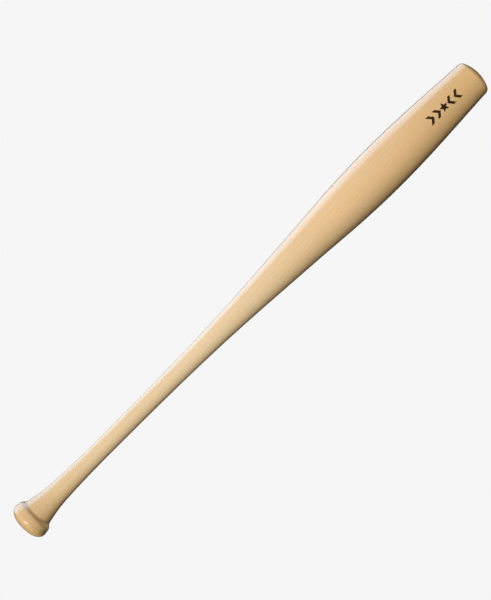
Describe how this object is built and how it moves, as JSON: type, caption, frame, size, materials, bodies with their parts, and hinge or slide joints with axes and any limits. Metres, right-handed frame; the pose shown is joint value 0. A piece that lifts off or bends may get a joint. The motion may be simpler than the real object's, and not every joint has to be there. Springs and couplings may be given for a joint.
{
  "type": "baseball bat",
  "caption": "One-piece turned maple baseball bat with a rounded knob, a slim flared handle, a barrel that is widest before its end, a domed tip and plain printed marks.",
  "frame": {"origin": "centre of the flat disc in the middle of the knob's end face", "axes": "+Z along the bat from the knob to the barrel end; -Y is the front, with the one bold mark near the barrel end; +Y is the back, with the emblem; +X completes the frame"},
  "size_m": [0.0662, 0.0662, 0.8382],
  "materials": {
    "maple": "clear satin-gloss lacquer over pale straight-grained maple",
    "black_film": "glossy black foil under the lacquer",
    "brown_film": "dark brown-black print under the lacquer"
  },
  "bodies": {
    "root": {"bat_body": "maple", "emblem_ring": "black_film", "emblem_ball": "black_film", "emblem_wings": "black_film", "cross_band": "brown_film", "end_row_upper": "black_film", "end_row_middle": "black_film", "end_row_lower": "black_film", "front_mark": "brown_film"}
  },
  "joints": []
}
